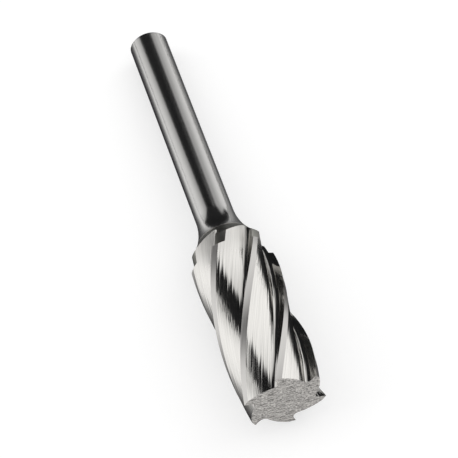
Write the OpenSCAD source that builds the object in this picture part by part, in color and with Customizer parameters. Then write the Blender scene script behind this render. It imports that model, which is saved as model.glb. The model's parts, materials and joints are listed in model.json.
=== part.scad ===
// Carbide burr with a cylindrical head, a plain end and coarse right-hand teeth.
// The carbide head is brazed to a ground steel shank. The burr lies on its side, on
// two of its teeth and the end of its shank, with its end face towards +X.

/* [Head] */
// Diameter over the cutting edges
head_d = 12.7; // [11.5:0.1:14]
// Length of the full teeth, from the end face to the shoulder behind them
head_len = 25; // [20:0.5:30]
// Number of teeth, each with one flute in front of it
teeth = 6; // [5:1:7]
// Angle between a cutting edge and the axis, on the outside of the head
helix_angle = 25; // [15:1:35]
// Slope of the shoulder at the back of the teeth, from a plane across the axis
shoulder_angle = 30; // [0:1:45]

/* [Teeth] */
// Diameter of the core between the flutes
core_d = 9.1; // [8.4:0.1:9.6]
// Hook of the rake faces, from a line through the axis
rake_angle = 5; // [0:1:10]
// Radius at the bottom of the flutes
gullet_r = 0.8; // [0.5:0.05:1]
// Width of the land behind each cutting edge
land_w = 1; // [0.6:0.05:1.3]
// How far the heel of a land lies inside the cutting circle
land_drop = 0.22; // [0.1:0.02:0.3]
// Bulge of a tooth's back over a straight line from its heel to the gullet
back_bulge = 0.28; // [0.1:0.02:0.4]

/* [Neck] */
// Diameter of the step between the teeth's shoulder and the fillet
step_d = 11.4; // [10.8:0.1:11.8]
// Length of the neck, from the full teeth to the straight part of the shank
neck_len = 9; // [8.5:0.1:11]
// Radius of the fillet between the shank and the head
neck_fillet_r = 10; // [9:0.5:14]
// Distance of the braze joint behind the full teeth
braze_back = 4.2; // [4:0.1:5]
// Thickness of the braze
braze_t = 0.12; // [0.08:0.01:0.2]

/* [Shank] */
// Diameter of the shank
shank_d = 6; // [5.5:0.1:7]
// Length of the burr from end to end
overall_len = 70; // [60:1:80]
// Chamfer round the end of the shank
shank_chamfer = 0.4; // [0.2:0.05:0.6]

/* [Hidden] */

$fn = 96;
// Steps along a gullet, along a tooth's back and along the twist of the head
gullet_steps = 5;
back_steps = 5;
twist_steps = 40;

head_r = head_d / 2;
core_r = core_d / 2;
step_r = step_d / 2;
shank_r = shank_d / 2;
pitch_angle = 360 / teeth;
turn_per_mm = tan(helix_angle) / head_r * 180 / PI;
neck_end = head_len + neck_len;
braze_start = head_len + braze_back;
braze_end = braze_start + braze_t;

// The burr is drawn upright, with its end face at z = 0 and its shank upwards.
// One tooth in section: the cutting edge is at angle 0, and the flute in front of
// it lies at negative angles, as far as the heel of the next tooth's land.
edge = [head_r, 0];
rake_down = [-cos(rake_angle), sin(rake_angle)];
rake_out = [-sin(rake_angle), -cos(rake_angle)];

// The gullet's arc touches the rake face and the core
gullet_centre_r = core_r + gullet_r;
edge_on_rake = head_r * cos(rake_angle);
rake_depth = edge_on_rake - sqrt(
    pow(edge_on_rake, 2) + pow(gullet_centre_r, 2) - pow(gullet_r, 2) - pow(head_r, 2)
    + 2 * head_r * gullet_r * sin(rake_angle));
gullet_centre = edge + rake_down * rake_depth + rake_out * gullet_r;
core_touch = gullet_centre * core_r / gullet_centre_r;

// The heel of the next land, where this flute ends
land_angle = land_w / head_r * 180 / PI;
heel_angle = land_angle - pitch_angle;
heel = (head_r - land_drop) * [cos(heel_angle), sin(heel_angle)];

// Angle of a direction [x, y]
function heading(v) = atan2(v[1], v[0]);
// A tooth's back from its foot in the gullet to the heel: a shallow arch
function back_bow(foot) =
    let (run = heel - foot) [-run[1], run[0]] / norm(run) * back_bulge * 4;
function back_point(foot, t) = foot + (heel - foot) * t + back_bow(foot) * t * (1 - t);

// The gullet's arc goes past the core, until it runs into the back
gullet_from = heading(-rake_out);
gullet_past = heading(heel - core_touch + back_bow(core_touch)) - heading(core_touch) + 90;
gullet_to = 180 + heading(core_touch) + gullet_past;
function gullet_point(a) = gullet_centre + gullet_r * [cos(a), sin(a)];
foot = gullet_point(gullet_to);

tooth_points = concat(
    [edge],
    [for (i = [0:gullet_steps])
        gullet_point(gullet_from + (gullet_to - gullet_from) * i / gullet_steps)],
    [for (i = [1:back_steps]) back_point(foot, i / back_steps)]
);

function turned(p, a) = [p[0] * cos(a) - p[1] * sin(a), p[0] * sin(a) + p[1] * cos(a)];

// The toothed part as a twisted bar, long enough to run out into the neck
module toothed_bar() {
    linear_extrude(braze_start, twist = -turn_per_mm * braze_start, slices = twist_steps)
        polygon([for (k = [0:teeth - 1]) for (p = tooth_points) turned(p, -k * pitch_angle)]);
}

// Half outline of the neck between two heights, cut by the fillet's circle
module neck_outline(from, to) {
    difference() {
        translate([0, from]) square([shank_r + neck_fillet_r, to - from]);
        translate([shank_r + neck_fillet_r, neck_end]) circle(neck_fillet_r);
    }
}

// Half outline of the carbide blank: full teeth, shoulder, step and the fillet's start
module head_outline() {
    clear = 1;
    intersection() {
        neck_outline(0, braze_start);
        polygon([
            [0, 0], [head_r + clear, 0],
            [head_r + clear, head_len - clear * tan(shoulder_angle)],
            [step_r, head_len + (head_r - step_r) * tan(shoulder_angle)],
            [step_r, braze_start], [0, braze_start]
        ]);
    }
}

// Carbide head: helical teeth whose flutes run out over the step and the neck's fillet
module head_upright() {
    intersection() {
        toothed_bar();
        rotate_extrude() head_outline();
    }
}

// Silver solder between the carbide and the steel, flush with the fillet
module braze_upright() {
    rotate_extrude() neck_outline(braze_start, braze_end);
}

// Steel shank with the rest of the fillet and a chamfered end
module shank_upright() {
    rotate_extrude() {
        neck_outline(braze_end, neck_end);
        polygon([
            [0, neck_end], [shank_r, neck_end], [shank_r, overall_len - shank_chamfer],
            [shank_r - shank_chamfer, overall_len], [0, overall_len]
        ]);
    }
}

// How the burr lies. The roll is the angle of a cutting edge's front end from
// straight down, and the tilt is how far the end of the shank hangs below level.
// It rests on those points of the teeth, cut back to the blank, that reach lowest.
contact_step = head_len / 100;
contact_z = [0:contact_step:braze_start];
shank_contact_z = overall_len - shank_chamfer;
function fillet_r(z) =
    let (below_end = min(neck_end - z, neck_fillet_r))
        shank_r + neck_fillet_r - sqrt(pow(neck_fillet_r, 2) - pow(below_end, 2));
function blank_r(z) = min(z < head_len + contact_step / 2 ? head_r : step_r, fillet_r(z));
// Angle from straight down of the nearest of all teeth
function nearest(a) = a - pitch_angle * round(a / pitch_angle);
function depth(p, roll, z) =
    min(norm(p), blank_r(z)) * cos(nearest(heading(p) + roll + turn_per_mm * z));
function tilt_at(roll) = max([
    for (z = contact_z) for (p = tooth_points)
        atan((depth(p, roll, z) - shank_r) / (shank_contact_z - z))
]);
// The roll with the least tilt among some, which is the lowest place to lie
function lowest(rolls) =
    let (tilts = [for (a = rolls) tilt_at(a)]) rolls[search(min(tilts), tilts)[0]];
rough_roll = lowest([for (a = [0:1:pitch_angle]) a]);
rest_roll = lowest([for (a = [-1:0.05:1]) rough_roll + a]);
rest_tilt = tilt_at(rest_roll);

// Place of the end face's centre, with the middle of the burr's box over the origin
rest_h = shank_contact_z * sin(rest_tilt) + shank_r * cos(rest_tilt);
face_down = max([for (p = tooth_points) depth(p, rest_roll, 0)]);
rest_x = (overall_len * cos(rest_tilt)
    + (shank_r - shank_chamfer - face_down) * sin(rest_tilt)) / 2;

module at_rest() {
    translate([rest_x, 0, rest_h])
        rotate([0, -90 - rest_tilt, 0])
            rotate([0, 0, 180 + rest_roll])
                children();
}

module cutting_head() {
    color("#bdbcb8") at_rest() head_upright();
}

module braze_joint() {
    color("#b9ad8c") at_rest() braze_upright();
}

module shank() {
    color("#a9a8a6") at_rest() shank_upright();
}

cutting_head();
braze_joint();
shank();
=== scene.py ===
import json
from math import atan2, cos, pi, radians, sin, sqrt, tan

import bmesh
import bpy
from mathutils import Matrix, Vector


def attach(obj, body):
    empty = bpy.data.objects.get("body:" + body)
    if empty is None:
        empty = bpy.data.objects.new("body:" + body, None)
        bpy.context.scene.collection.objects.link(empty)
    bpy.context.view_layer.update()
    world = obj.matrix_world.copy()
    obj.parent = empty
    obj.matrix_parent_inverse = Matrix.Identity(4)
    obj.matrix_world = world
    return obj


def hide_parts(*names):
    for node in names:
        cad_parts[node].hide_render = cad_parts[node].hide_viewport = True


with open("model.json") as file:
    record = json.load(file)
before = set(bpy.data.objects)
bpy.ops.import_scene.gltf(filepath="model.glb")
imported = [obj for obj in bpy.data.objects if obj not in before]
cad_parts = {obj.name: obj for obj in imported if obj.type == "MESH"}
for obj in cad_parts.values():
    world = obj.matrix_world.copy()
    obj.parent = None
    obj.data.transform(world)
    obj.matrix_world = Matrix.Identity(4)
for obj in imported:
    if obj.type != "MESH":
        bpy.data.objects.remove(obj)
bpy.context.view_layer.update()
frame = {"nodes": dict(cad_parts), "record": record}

# Sizes of the burr, in metres and radians
MM = 0.001
TEETH = 6
HEAD_R = 6.35 * MM
HEAD_LEN = 25 * MM
HELIX_ANGLE = radians(25)
SHOULDER_ANGLE = radians(30)
CORE_R = 4.55 * MM
RAKE_ANGLE = radians(5)
GULLET_R = 0.8 * MM
LAND_W = 1 * MM
LAND_DROP = 0.22 * MM
BACK_BULGE = 0.28 * MM
STEP_R = 5.7 * MM
NECK_LEN = 9 * MM
NECK_FILLET_R = 10 * MM
BRAZE_BACK = 4.2 * MM
BRAZE_T = 0.12 * MM
SHANK_CHAMFER = 0.4 * MM
EDGE_HONE = 0.03 * MM
CORNER_R = 0.06 * MM

PITCH = 2 * pi / TEETH
TURN_PER_M = tan(HELIX_ANGLE) / HEAD_R
NECK_END = HEAD_LEN + NECK_LEN
BRAZE_START = HEAD_LEN + BRAZE_BACK
BRAZE_END = BRAZE_START + BRAZE_T

# Distances under which two places count as one
MERGE_GAP = 0.0005 * MM
FLAT_GAP = 0.001 * MM
TIP_GAP = 0.01 * MM

# Edges sharper than this stay sharp to the eye
HEAD_SHARP = radians(12)
TURNED_SHARP = radians(30)

# The tool's own axes, read from the frame: +Z runs from the end face to the shank,
# and +X points at the uppermost cutting edge on the end face.
collet_grip = frame["record"]["mounts"][0]
SHANK_R = collet_grip["dims"]["r_mm"] * MM
tool_z = Vector(collet_grip["axis"]).normalized()
on_axis = Vector(collet_grip["pos_m"])


def along(v):
    """How far a point lies along the axis, from the middle of the collet's grip."""
    return (v - on_axis).dot(tool_z)


head_points = [v.co for v in frame["nodes"]["cutting_head"].data.vertices]
face_at = min(along(v) for v in head_points)
face_centre = on_axis + tool_z * face_at
shank_end = max(along(v.co) for v in frame["nodes"]["shank"].data.vertices) - face_at
edge_tips = [
    v for v in head_points
    if along(v) - face_at < TIP_GAP and (v - face_centre).length > HEAD_R - TIP_GAP
]
top_tip = max(edge_tips, key=lambda v: v.z)
tool_x = (top_tip - face_centre).normalized()
tool_y = tool_z.cross(tool_x)
tool_to_row = Matrix((tool_x, tool_y, tool_z)).transposed().to_4x4()
tool_to_row.translation = face_centre


# Small helpers for modelling in edit mode


def deselect_all():
    """Leaves edit mode, with nothing selected."""
    if bpy.context.object and bpy.context.object.mode != "OBJECT":
        bpy.ops.object.mode_set(mode="OBJECT")
    bpy.ops.object.select_all(action="DESELECT")


def pick(kind, test):
    """Selects only the vertices or faces of the mesh in edit mode that pass a test."""
    mesh = bmesh.from_edit_mesh(bpy.context.edit_object.data)
    bpy.ops.mesh.select_mode(type="VERT" if kind == "verts" else "FACE")
    bpy.ops.mesh.select_all(action="DESELECT")
    for item in getattr(mesh, kind):
        if test(item):
            item.select_set(True)
    mesh.select_flush_mode()
    bmesh.update_edit_mesh(bpy.context.edit_object.data)


def all_faces(face):
    """The test that every face passes."""
    return True


def apply_modifier(piece, kind, **settings):
    """Puts a modifier on a piece and applies it at once."""
    modifier = piece.modifiers.new(kind.lower(), kind)
    for name, value in settings.items():
        setattr(modifier, name, value)
    bpy.context.view_layer.objects.active = piece
    bpy.ops.object.modifier_apply(modifier=modifier.name)


def paint(piece, material, test):
    """Gives a finish to the faces of the piece in edit mode that pass a test."""
    piece.data.materials.append(material)
    piece.active_material_index = len(piece.data.materials) - 1
    pick("faces", test)
    bpy.ops.object.material_slot_assign()


def close_up(smooth_angle):
    """Merges doubles, takes out the spare points that a cut leaves part way along an edge,
    points all faces outwards and smooths all but the sharp edges."""
    bpy.ops.mesh.select_mode(type="VERT")
    bpy.ops.mesh.select_all(action="SELECT")
    bpy.ops.mesh.remove_doubles(threshold=MERGE_GAP)
    pick("verts", lambda v: len(v.link_edges) == 2)
    bpy.ops.mesh.dissolve_verts()
    bpy.ops.mesh.select_all(action="SELECT")
    bpy.ops.mesh.normals_make_consistent(inside=False)
    bpy.ops.object.mode_set(mode="OBJECT")
    bpy.ops.object.shade_smooth_by_angle(angle=smooth_angle)


def place_on_frame(piece, *nodes, slot):
    """Puts a piece that was modelled in the tool's axes where the frame has its node."""
    deselect_all()
    piece.select_set(True)
    bpy.context.view_layer.objects.active = piece
    piece.matrix_world = tool_to_row
    bpy.ops.object.transform_apply(location=True, rotation=True, scale=True)
    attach(piece, "root")
    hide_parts(*nodes)


def turn_on_lathe(name, stations, segments=240):
    """A disc is extruded and resized through (radius, height) stations. Stays in edit mode."""
    radius, height = stations[0]
    deselect_all()
    bpy.ops.mesh.primitive_circle_add(
        vertices=segments, radius=radius, fill_type="NGON", location=(0, 0, height)
    )
    piece = bpy.context.object
    piece.name = name
    bpy.ops.object.transform_apply(location=True)
    bpy.ops.object.mode_set(mode="EDIT")
    bpy.ops.mesh.select_mode(type="FACE")
    bpy.ops.mesh.select_all(action="SELECT")
    for next_radius, next_height in stations[1:]:
        rise = (0, 0, next_height - height)
        share = next_radius / radius
        bpy.ops.mesh.extrude_region_move(TRANSFORM_OT_translate={"value": rise})
        bpy.ops.transform.resize(value=(share, share, 1), center_override=(0, 0, next_height))
        radius, height = next_radius, next_height
    return piece


# Outlines


def heading(v):
    """The angle of a place round the axis."""
    return atan2(v.y, v.x)


def at_angle(r, a):
    """The place at a radius and an angle round the axis."""
    return Vector((r * cos(a), r * sin(a)))


def tooth_outline(rake_steps=3, gullet_steps=18, back_steps=18, land_steps=5):
    """One tooth in section. The cutting edge is at angle 0, and the flute in front of it
    lies at negative angles, as far as the next edge. The edges are honed by a hair."""
    edge = Vector((HEAD_R, 0))
    rake_down = Vector((-cos(RAKE_ANGLE), sin(RAKE_ANGLE)))
    rake_out = Vector((-sin(RAKE_ANGLE), -cos(RAKE_ANGLE)))
    # The gullet's arc touches the rake face and the core
    centre_r = CORE_R + GULLET_R
    edge_on_rake = HEAD_R * cos(RAKE_ANGLE)
    rake_depth = edge_on_rake - sqrt(
        edge_on_rake**2 + centre_r**2 - GULLET_R**2 - HEAD_R**2
        + 2 * HEAD_R * GULLET_R * sin(RAKE_ANGLE)
    )
    centre = edge + rake_down * rake_depth + rake_out * GULLET_R
    core_touch = centre * CORE_R / centre_r
    heel = at_angle(HEAD_R - LAND_DROP, LAND_W / HEAD_R - PITCH)
    next_edge = at_angle(HEAD_R, -PITCH)

    def back_bow(foot):
        run = heel - foot
        return Vector((-run.y, run.x)).normalized() * BACK_BULGE * 4

    # The arc ends where it runs the way that the back leaves it
    arc_from = heading(-rake_out)
    arc_to = pi * 3 / 2 + heading(heel - core_touch + back_bow(core_touch))
    foot = centre + at_angle(GULLET_R, arc_to)
    rake_run = rake_down * (rake_depth - EDGE_HONE) / rake_steps
    rake = [edge + rake_down * EDGE_HONE + rake_run * i for i in range(rake_steps)]
    arc_step = (arc_to - arc_from) / gullet_steps
    gullet = [centre + at_angle(GULLET_R, arc_from + arc_step * i) for i in range(gullet_steps + 1)]
    back = []
    for i in range(1, back_steps + 1):
        t = i / back_steps
        back.append(foot + (heel - foot) * t + back_bow(foot) * t * (1 - t))
    land_run = next_edge - heel
    land_run -= land_run.normalized() * EDGE_HONE
    land = [heel + land_run * i / land_steps for i in range(1, land_steps + 1)]
    return rake + gullet + back + land


def fillet_r(z):
    """Radius of the neck at a height, where its fillet runs into the shank."""
    return SHANK_R + NECK_FILLET_R - sqrt(NECK_FILLET_R**2 - (NECK_END - z)**2)


def fillet_stations(start, end, steps):
    """Stations for the lathe along the neck's fillet, between two heights."""
    heights = [start + (end - start) * i / steps for i in range(steps + 1)]
    return [(fillet_r(z), z) for z in heights]


# Materials


def colour(hex_code):
    """An sRGB hex value as the linear colour that a shader takes."""
    shares = [int(hex_code[i:i + 2], 16) / 255 for i in (1, 3, 5)]
    linear = [s / 12.92 if s <= 0.04045 else ((s + 0.055) / 1.055)**2.4 for s in shares]
    return (*linear, 1)


def add_node(tree, kind, inputs=None, **settings):
    """Adds a node with its settings. An input is a value, or the output that feeds it."""
    node = tree.nodes.new("ShaderNode" + kind)
    for name, value in settings.items():
        setattr(node, name, value)
    for name, value in (inputs or {}).items():
        if isinstance(value, bpy.types.NodeSocket):
            tree.links.new(value, node.inputs[name])
        else:
            node.inputs[name].default_value = value
    return node


def start_material(name):
    """A new material, with its node tree and its shader."""
    material = bpy.data.materials.new(name)
    material.use_nodes = True
    shader = material.node_tree.nodes["Principled BSDF"]
    return material, material.node_tree, shader


def in_tool_axes(tree):
    """A place on the piece in the tool's own axes, in millimetres."""
    row_to_tool = tool_to_row.inverted()
    place = add_node(tree, "TexCoord")
    turned = add_node(tree, "Mapping", {
        "Vector": place.outputs["Object"],
        "Location": row_to_tool.translation / MM,
        "Rotation": row_to_tool.to_euler(),
        "Scale": (1 / MM, 1 / MM, 1 / MM),
    })
    return turned.outputs["Vector"]


def noise(tree, place, size_mm, detail=2.0, crumble=0.6):
    """Soft noise from 0 to 1, with a grain of the given size along each axis."""
    grain = add_node(tree, "Mapping", {"Vector": place, "Scale": [1 / s for s in size_mm]})
    grown = add_node(tree, "TexNoise", {
        "Vector": grain.outputs["Vector"], "Scale": 1.0, "Detail": detail, "Roughness": crumble,
    })
    return grown.outputs["Fac"]


def spread(tree, share, low, high, reach=0.2):
    """Maps the middle stretch of a noise, within reach of one half, to a range of values."""
    ranged = add_node(tree, "MapRange", {
        "Value": share, "From Min": 0.5 - reach, "From Max": 0.5 + reach,
        "To Min": low, "To Max": high,
    })
    return ranged.outputs["Result"]


def blend_colours(tree, share, first, second):
    """Goes from the first colour to the second as the share goes from 0 to 1."""
    mixed = add_node(tree, "Mix", {
        "Factor": share, "A": colour(first), "B": colour(second),
    }, data_type="RGBA")
    return mixed.outputs["Result"]


def relief(tree, height, depth, normal=None):
    """Bump of the given depth in metres, on top of another one if there is one."""
    inputs = {"Height": height, "Distance": depth, "Strength": 1.0}
    if normal:
        inputs["Normal"] = normal
    return add_node(tree, "Bump", inputs).outputs["Normal"]


def finish(tree, shader, base, roughness, normal):
    """Joins a bare metal's colour, roughness and relief to its shader."""
    shader.inputs["Metallic"].default_value = 1
    tree.links.new(base, shader.inputs["Base Color"])
    tree.links.new(roughness, shader.inputs["Roughness"])
    tree.links.new(normal, shader.inputs["Normal"])


def along_flutes(tree):
    """The tool's axes, unwound so that the third one follows the flutes."""
    place = in_tool_axes(tree)
    height = add_node(tree, "SeparateXYZ", {"Vector": place}).outputs["Z"]
    unwind = add_node(tree, "Math", {0: height, 1: -TURN_PER_M * MM}, operation="MULTIPLY")
    unwound = add_node(tree, "VectorRotate", {
        "Vector": place, "Angle": unwind.outputs["Value"],
    }, rotation_type="Z_AXIS")
    return unwound.outputs["Vector"]


def wheel_ground_carbide(name, line_depth, run_out_dulling):
    """Tungsten carbide, ground by a diamond wheel that runs along the flute. It is bright,
    and the wheel's lines draw every reflection out into streaks with ragged ends. Where the
    wheel lifts out at the neck, it leaves a duller patch. The lines of a fine wheel are
    0.05 mm wide, and are drawn about 0.25 mm wide so that they show."""
    lift_from_mm = HEAD_LEN / MM - 3
    lift_to_mm = HEAD_LEN / MM + 1
    material, tree, shader = start_material(name)
    place = along_flutes(tree)
    lines = noise(tree, place, size_mm=(0.28, 0.28, 14), detail=1.5)
    fine = noise(tree, place, size_mm=(0.12, 0.12, 9))
    base = blend_colours(tree, spread(tree, fine, 0, 1), "#d5d3cf", "#e5e3df")
    height = add_node(tree, "SeparateXYZ", {"Vector": place}).outputs["Z"]
    run_out = add_node(tree, "MapRange", {
        "Value": height, "From Min": lift_from_mm, "From Max": lift_to_mm,
        "To Min": 0, "To Max": run_out_dulling,
    })
    roughness = add_node(tree, "Math", {
        0: spread(tree, fine, 0.05, 0.13), 1: run_out.outputs["Result"],
    }, operation="ADD").outputs["Value"]
    normal = relief(tree, lines, line_depth)
    normal = relief(tree, fine, 0.002 * MM, normal)
    finish(tree, shader, base, roughness, normal)
    return material


def flute_ground_carbide():
    """The flutes and the teeth's backs, where the round edge of the wheel leaves its lines."""
    return wheel_ground_carbide(
        "flute_ground_carbide", line_depth=0.035 * MM, run_out_dulling=0.4
    )


def rake_ground_carbide():
    """The rake faces and the steep side of the gullets under them, which the flat side of
    the wheel leaves smoother, and bright to the very end."""
    return wheel_ground_carbide(
        "rake_ground_carbide", line_depth=0.008 * MM, run_out_dulling=0
    )


def land_ground_carbide():
    """The same carbide on the lands behind the cutting edges. A cup wheel grinds them, which
    leaves them satin and a little greyer, without streaks. Its lines are drawn 0.2 mm wide,
    coarser than the real ones."""
    material, tree, shader = start_material("land_ground_carbide")
    place = along_flutes(tree)
    lines = noise(tree, place, size_mm=(0.2, 0.2, 6))
    base = blend_colours(tree, lines, "#c3c1be", "#d3d1ce")
    roughness = spread(tree, lines, 0.34, 0.4)
    finish(tree, shader, base, roughness, relief(tree, lines, 0.002 * MM))
    return material


def face_ground_carbide():
    """The end face, cut square by a coarse wheel that crosses it: dull, grey and grainy,
    with short scratches that all run one way. Real ones are under 0.1 mm wide, and these
    are 0.17 mm wide so that they show."""
    scratch_angle = radians(75)
    material, tree, shader = start_material("face_ground_carbide")
    crossed = add_node(tree, "VectorRotate", {
        "Vector": in_tool_axes(tree), "Angle": scratch_angle,
    }, rotation_type="Z_AXIS")
    place = crossed.outputs["Vector"]
    scratches = noise(tree, place, size_mm=(1.4, 0.17, 1))
    grit = noise(tree, place, size_mm=(0.3, 0.17, 1))
    grain = add_node(tree, "Mix", {"Factor": 0.5, "A": scratches, "B": grit}).outputs["Result"]
    base = blend_colours(tree, spread(tree, grain, 0, 1, reach=0.09), "#5d5b59", "#d7d4d0")
    roughness = spread(tree, grain, 0.5, 0.62)
    finish(tree, shader, base, roughness, relief(tree, grain, 0.05 * MM))
    return material


def round_the_axis(tree):
    """Distance from the axis, place along it, and a little of the way round."""
    place = in_tool_axes(tree)
    across = add_node(tree, "VectorMath", {0: place, 1: (1, 1, 0)}, operation="MULTIPLY")
    radius = add_node(tree, "VectorMath", {0: across.outputs["Vector"]}, operation="LENGTH")
    parts = add_node(tree, "SeparateXYZ", {"Vector": place})
    lined = add_node(tree, "CombineXYZ", {
        "X": radius.outputs["Value"], "Y": parts.outputs["Z"], "Z": parts.outputs["X"],
    })
    return lined.outputs["Vector"]


def round_ground_metal(name, dark, light, rough_low, rough_high):
    """Ground round the axis. The wheel's lines are drawn 0.12 mm wide, coarser than the
    real ones, so that they show."""
    material, tree, shader = start_material(name)
    lines = noise(tree, round_the_axis(tree), size_mm=(0.12, 0.12, 14))
    base = blend_colours(tree, lines, dark, light)
    roughness = spread(tree, lines, rough_low, rough_high)
    finish(tree, shader, base, roughness, relief(tree, lines, 0.0015 * MM))
    return material


def blank_ground_carbide():
    """The blank behind the teeth: carbide ground round before the flutes were cut. It is
    satin, and darker than the flutes."""
    return round_ground_metal("blank_ground_carbide", "#94938d", "#a8a7a1", 0.28, 0.36)


def ground_steel():
    """Hardened tool steel, ground round without centres: bright, with faint rings."""
    return round_ground_metal("ground_steel", "#bcbbb9", "#cccbc9", 0.13, 0.2)


def turned_steel():
    """The flat end of the shank, faced on a lathe: the same steel, duller, in fine circles."""
    return round_ground_metal("turned_steel", "#b2b1af", "#c6c5c3", 0.4, 0.5)


def silver_solder():
    """Silver brazing alloy, ground flush with the neck: warm white metal, softer in gloss."""
    return round_ground_metal("silver_solder", "#b8b2a2", "#c6c0b0", 0.16, 0.24)


FLUTE_FINISH = flute_ground_carbide()
RAKE_FINISH = rake_ground_carbide()
LAND_FINISH = land_ground_carbide()
FACE_FINISH = face_ground_carbide()
BLANK_FINISH = blank_ground_carbide()
SOLDER_FINISH = silver_solder()
STEEL_FINISH = ground_steel()
END_FINISH = turned_steel()


# Cutting head

# Which faces of the teeth are lands, and which are steep, by how far they face outwards
LAND_FACING = 0.7
STEEP_FACING = 0.75
HEEL_CLEARANCE = 0.005 * MM


def wind_toothed_bar(twist_steps=150, overrun=0.5 * MM):
    """A circle is pulled into the section of the teeth and wound up along the helix. The
    bar runs past both ends of the head, so that the blank's own faces cut it off. Run
    without a window, rotate turns clockwise for a positive angle."""
    outline = tooth_outline()
    count = len(outline)
    total = count * TEETH
    deselect_all()
    bpy.ops.mesh.primitive_circle_add(vertices=total, radius=HEAD_R)
    bar = bpy.context.object
    bpy.ops.object.mode_set(mode="EDIT")
    for j, point in enumerate(outline):
        # The circle's vertices run the other way round, from +Y
        pick("verts", lambda v: (total - v.index) % count == j)
        share = point.length / HEAD_R
        turn = heading(point) - (pi / 2 - j * 2 * pi / total)
        bpy.ops.transform.resize(value=(share, share, 1), center_override=(0, 0, 0))
        bpy.ops.transform.rotate(value=-turn, orient_axis="Z", center_override=(0, 0, 0))
    bpy.ops.mesh.select_all(action="SELECT")
    bpy.ops.transform.translate(value=(0, 0, -overrun))
    bpy.ops.transform.rotate(
        value=TURN_PER_M * overrun, orient_axis="Z", center_override=(0, 0, 0)
    )
    bpy.ops.object.mode_set(mode="OBJECT")
    length = BRAZE_START + 2 * overrun
    apply_modifier(
        bar, "SCREW", angle=TURN_PER_M * length, screw_offset=length, iterations=1,
        steps=twist_steps, render_steps=twist_steps, use_merge_vertices=False
    )
    bpy.ops.object.mode_set(mode="EDIT")
    for end_z in (-overrun, length - overrun):
        pick("verts", lambda v: abs(v.co.z - end_z) < FLAT_GAP)
        bpy.ops.mesh.edge_face_add()
    paint(bar, FLUTE_FINISH, all_faces)
    paint(bar, RAKE_FINISH, is_steep)
    paint(bar, LAND_FINISH, is_land)
    return bar


def lie_of(face):
    """Distance of a face from the axis, and how far it faces away from it, from 0 to 1."""
    middle = face.calc_center_median()
    outwards = Vector((middle.x, middle.y, 0))
    return outwards.length, abs(face.normal.dot(outwards.normalized()))


def is_land(face):
    """The land is the part of the teeth outside the heel's radius, square to the radius."""
    radius, outward = lie_of(face)
    return radius > HEAD_R - LAND_DROP + HEEL_CLEARANCE and outward > LAND_FACING


def is_steep(face):
    """The rake face and the steep side of the gullet under it."""
    radius, outward = lie_of(face)
    return radius > CORE_R and outward < STEEP_FACING


def model_cutting_head():
    """The wound bar is cut back to the turned blank: end face, shoulder, step and fillet."""
    bar = wind_toothed_bar()
    close_up(HEAD_SHARP)
    clear = 1 * MM
    shoulder = [
        (HEAD_R + clear, 0),
        (HEAD_R + clear, HEAD_LEN - clear * tan(SHOULDER_ANGLE)),
        (STEP_R, HEAD_LEN + (HEAD_R - STEP_R) * tan(SHOULDER_ANGLE)),
    ]
    step_end = NECK_END - sqrt(NECK_FILLET_R**2 - (SHANK_R + NECK_FILLET_R - STEP_R)**2)
    fillet = fillet_stations(step_end, BRAZE_START, steps=16)
    envelope = turn_on_lathe("envelope", shoulder + fillet)
    paint(envelope, BLANK_FINISH, all_faces)
    paint(envelope, FACE_FINISH, lambda face: abs(face.calc_center_median().z) < FLAT_GAP)
    close_up(HEAD_SHARP)
    deselect_all()
    apply_modifier(
        bar, "BOOLEAN", operation="INTERSECT", solver="EXACT", object=envelope,
        material_mode="TRANSFER"
    )
    bpy.data.objects.remove(envelope)
    bar.name = "cutting_head_ground"
    bar.select_set(True)
    bpy.context.view_layer.objects.active = bar
    bpy.ops.object.mode_set(mode="EDIT")
    close_up(HEAD_SHARP)
    place_on_frame(bar, "cutting_head", slot="ground_carbide")


# Braze and shank


def model_braze():
    """The seam of solder, ground flush with the neck's fillet."""
    ring = turn_on_lathe("braze_ring", fillet_stations(BRAZE_START, BRAZE_END, steps=2))
    paint(ring, SOLDER_FINISH, all_faces)
    close_up(TURNED_SHARP)
    place_on_frame(ring, "braze_joint", slot="silver_solder")


def model_shank():
    """The rest of the fillet, the straight shank and its chamfered end with broken corners."""
    fillet = fillet_stations(BRAZE_END, NECK_END, steps=24)
    chamfer = [
        (SHANK_R, shank_end - SHANK_CHAMFER),
        (SHANK_R - SHANK_CHAMFER, shank_end),
    ]
    rod = turn_on_lathe("shank_ground", fillet + chamfer)
    paint(rod, STEEL_FINISH, all_faces)
    paint(rod, END_FINISH, lambda face: face.calc_center_median().z > shank_end - FLAT_GAP)
    close_up(TURNED_SHARP)
    apply_modifier(
        rod, "BEVEL", width=CORNER_R, segments=3, limit_method="ANGLE", angle_limit=TURNED_SHARP
    )
    place_on_frame(rod, "shank", slot="ground_steel")


model_cutting_head()
model_braze()
model_shank()


# Camera, floor and light

# Where the camera stands and looks, in millimetres in the tool's axes
CAMERA_SPOT_MM = (270.8, 15.7, -154.9)
CAMERA_AIM_MM = (-0.07, 1.33, 30.94)
CAMERA_LEAN = radians(21.26)
CAMERA_LENS_MM = 172.9
FILM_WIDTH_MM = 36
NEAREST_SEEN = 0.01

# The paper lies just under the burr. Its lift is the glow that makes it white.
FLOOR_SIZE = 1.4
FLOOR_DROP = 0.3 * MM
FLOOR_LIFT = 0.52
PAPER_COLOUR = "#c6c6c6"

# The sky's strength as a lamp, and where gloss sees it behind the burr and beside it
SKY_FILL = 0.75
SKY_BEHIND = 0.5
SKY_BESIDE = 1.15
# How far a direction turns away from straight behind the burr, where the sky's grey ends
# and where its full white starts
SKY_GREY_TO = 0.45
SKY_WHITE_FROM = 0.9
SKY_FRONT = (1, 0.3, 0)

SOFTBOX_SIZE = (0.5, 0.9)
SOFTBOX_BRIGHTNESS = 0.9

# The black of the flags, which on the floor under the burr is painted shade
BLACK_CARD_AND_SHADE = "#0c0d10"
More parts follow.
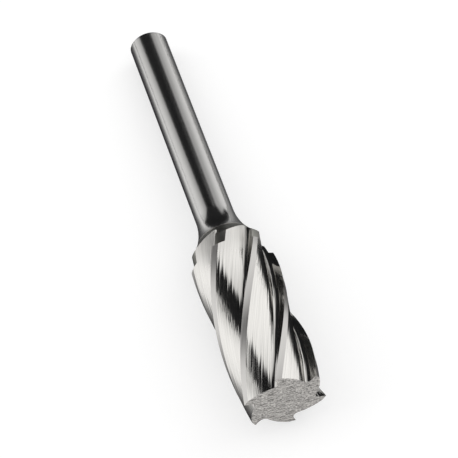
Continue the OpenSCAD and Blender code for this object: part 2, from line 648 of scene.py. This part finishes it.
# Flags on the floor lie between the paper and the burr; those under and beside the burr are painted
# shade
FLAG_Z = -0.1 * MM


def place_camera():
    """A long lens from above the end face. The tool's axis leans to the left in the picture."""
    spot = tool_to_row @ (Vector(CAMERA_SPOT_MM) * MM)
    aim = tool_to_row @ (Vector(CAMERA_AIM_MM) * MM)
    forward = (aim - spot).normalized()
    axis_up = (tool_z - forward * tool_z.dot(forward)).normalized()
    axis_right = forward.cross(axis_up)
    up = axis_up * cos(CAMERA_LEAN) + axis_right * sin(CAMERA_LEAN)
    right = forward.cross(up)
    camera = bpy.data.objects.new("camera", bpy.data.cameras.new("camera"))
    bpy.context.collection.objects.link(camera)
    turn = Matrix((right, up, -forward)).transposed().to_4x4()
    camera.matrix_world = Matrix.Translation(spot) @ turn
    camera.data.lens = CAMERA_LENS_MM
    camera.data.sensor_width = FILM_WIDTH_MM
    camera.data.clip_start = NEAREST_SEEN
    bpy.context.scene.camera = camera


def is_seen(tree):
    """1 for rays from the camera, from gloss and through glass, and 0 for other rays."""
    path = add_node(tree, "LightPath")
    seen = path.outputs["Is Camera Ray"]
    for kind in ("Is Glossy Ray", "Is Transmission Ray"):
        both = add_node(tree, "Math", {0: seen, 1: path.outputs[kind]}, operation="MAXIMUM")
        seen = both.outputs["Value"]
    return seen


def lay_floor():
    """White paper: matt, with no pattern. The camera and gloss see it brighter than it lights
    the burr, so that it is white beyond the burr's shadow."""
    deselect_all()
    bpy.ops.mesh.primitive_plane_add(size=FLOOR_SIZE, location=(0, 0, -FLOOR_DROP))
    floor = bpy.context.object
    floor.name = "floor"
    material, tree, shader = start_material("white_paper")
    shader.inputs["Base Color"].default_value = colour(PAPER_COLOUR)
    shader.inputs["Roughness"].default_value = 0.9
    shader.inputs["Emission Color"].default_value = (1, 1, 1, 1)
    lift = add_node(tree, "Math", {0: is_seen(tree), 1: FLOOR_LIFT}, operation="MULTIPLY")
    tree.links.new(lift.outputs["Value"], shader.inputs["Emission Strength"])
    floor.data.materials.append(material)


def light_the_sky():
    """A white sky. Gloss sees it grey behind the burr, and from there it gets brighter
    towards both sides and the front."""
    world = bpy.data.worlds.new("studio")
    bpy.context.scene.world = world
    world.use_nodes = True
    tree = world.node_tree
    place = add_node(tree, "TexCoord").outputs["Generated"]
    parts = add_node(tree, "SeparateXYZ", {"Vector": place})
    beside = add_node(tree, "Math", {0: parts.outputs["Y"]}, operation="ABSOLUTE")
    to_front = add_node(tree, "VectorMath", {0: place, 1: SKY_FRONT}, operation="DOT_PRODUCT")
    front = add_node(tree, "Math", {0: to_front.outputs["Value"], 1: 1.0}, operation="ADD")
    turned_away = add_node(tree, "Math", {
        0: beside.outputs["Value"], 1: front.outputs["Value"],
    }, operation="MAXIMUM")
    seen_sky = add_node(tree, "MapRange", {
        "Value": turned_away.outputs["Value"], "From Min": SKY_GREY_TO, "From Max": SKY_WHITE_FROM,
        "To Min": SKY_BEHIND, "To Max": SKY_BESIDE,
    }, interpolation_type="SMOOTHSTEP")
    path = add_node(tree, "LightPath")
    glossy = add_node(tree, "Mix", {
        "Factor": path.outputs["Is Glossy Ray"], "A": 1.0, "B": seen_sky.outputs["Result"],
    })
    strength = add_node(tree, "Mix", {
        "Factor": is_seen(tree), "A": SKY_FILL, "B": glossy.outputs["Result"],
    })
    background = tree.nodes["Background"]
    background.inputs["Color"].default_value = (1, 1, 1, 1)
    tree.links.new(strength.outputs["Result"], background.inputs["Strength"])


def hang_softbox(name, spot):
    """A soft lamp that faces the burr. It lights the floor, and the metal sees the sky
    in its place."""
    width, height = SOFTBOX_SIZE
    lamp = bpy.data.lights.new(name, "AREA")
    lamp.shape = "RECTANGLE"
    lamp.size = width
    lamp.size_y = height
    lamp.energy = SOFTBOX_BRIGHTNESS * pi * width * height
    softbox = bpy.data.objects.new(name, lamp)
    bpy.context.collection.objects.link(softbox)
    softbox.location = spot
    softbox.rotation_euler = Vector(spot).to_track_quat("Z", "Y").to_euler()
    softbox.visible_camera = False
    softbox.visible_glossy = False


def hang_flag(name, low, high, soft, tone=BLACK_CARD_AND_SHADE):
    """A dark card between two corners, flat or upright, that only the metal's
    reflections see. Upright or overhead, it is a studio's black flag; laid on the floor under and
    beside the burr, it is painted shade, the burr's own shadow on the paper as the metal's
    reflections see it. Its darkness fades out towards its four edges, over a share of its half
    size: at its low and high end along X (or Z, where it is upright), and then along Y."""
    low = Vector(low)
    high = Vector(high)
    half = (high - low) / 2
    upright = half.x == 0
    deselect_all()
    bpy.ops.mesh.primitive_plane_add(
        size=2, location=(low + high) / 2, rotation=(0, -pi / 2 if upright else 0, 0)
    )
    flag = bpy.context.object
    flag.name = name
    flag.scale = (half.z if upright else half.x, half.y, 1)
    material, tree, shader = start_material("dark_card_and_painted_shade")
    shader.inputs["Base Color"].default_value = colour(tone)
    shader.inputs["Roughness"].default_value = 1
    place = add_node(tree, "TexCoord").outputs["Object"]
    parts = add_node(tree, "SeparateXYZ", {"Vector": place})
    shade = 1.0
    for (axis, side), share in zip((("X", -1), ("X", 1), ("Y", -1), ("Y", 1)), soft):
        fade = add_node(tree, "MapRange", {
            "Value": parts.outputs[axis], "From Min": side, "From Max": side * (1 - share),
        }, interpolation_type="SMOOTHSTEP")
        both = add_node(tree, "Math", {0: shade, 1: fade.outputs["Result"]}, operation="MULTIPLY")
        shade = both.outputs["Value"]
    clear = add_node(tree, "BsdfTransparent")
    mixed = add_node(tree, "MixShader", {
        "Fac": shade, 1: clear.outputs["BSDF"], 2: shader.outputs["BSDF"],
    })
    tree.links.new(mixed.outputs["Shader"], tree.nodes["Material Output"].inputs["Surface"])
    flag.data.materials.append(material)
    flag.visible_camera = False
    flag.visible_diffuse = False
    flag.visible_transmission = False
    flag.visible_shadow = False


place_camera()
lay_floor()
light_the_sky()
hang_softbox("left_softbox", spot=(-0.2, 0.63, 0.5))
hang_softbox("right_softbox", spot=(-0.2, -0.63, 0.5))

# Flags around and above the burr, which give the flutes their dark streaks
hang_flag("back_flag", low=(-0.4, -0.3, -0.02), high=(-0.4, 0.25, 0.52), soft=(0.02, 0.02, 0.1, 0.35))
hang_flag("low_flag", low=(-0.405, 0.1, -0.02), high=(-0.405, 0.42, 0.18), soft=(0.02, 0.5, 0.02, 0.5))
hang_flag("top_flag", low=(-0.46, -0.26, 0.5), high=(-0.06, 0.1, 0.5), soft=(0.02, 0.2, 0.15, 0.5))
hang_flag("side_flag", low=(-0.36, -0.46, 0.505), high=(-0.14, -0.2, 0.505), soft=(0.4, 0.4, 0.35, 0.3))
hang_flag(
    "front_flag", low=(0.45, -0.22, 0.06), high=(0.45, 0.14, 0.42), soft=(0.3, 0.3, 0.3, 0.3),
    tone="#2a2b2e"
)

# Flags on the floor, which darken the undersides, the neck and the shank's middle. The three under and
# beside the burr are painted shade, the burr's shadow on the paper as the metal's reflections see it;
# the rear one is a dark sheet behind the burr.
hang_flag(
    "head_painted_shade", low=(-0.005, -0.03, FLAG_Z), high=(0.037, 0.04, FLAG_Z),
    soft=(0.3, 0.15, 0.74, 0.57)
)
hang_flag(
    "shank_painted_shade", low=(-0.09, -0.026, 2 * FLAG_Z), high=(0.01, 0.045, 2 * FLAG_Z),
    soft=(0.1, 0.3, 0.62, 1.27), tone="#38383b"
)
hang_flag(
    "right_painted_shade", low=(-0.06, 0.02, FLAG_Z), high=(-0.002, 0.08, FLAG_Z), soft=(0.5, 0.5, 0.5, 0.5),
    tone="#8c8c8c"
)
hang_flag(
    "rear_flag", low=(-0.4, -0.2, FLAG_Z), high=(-0.07, 0.2, FLAG_Z), soft=(0.02, 0.1, 0.3, 0.3)
)

bpy.context.scene.view_settings.view_transform = "Standard"
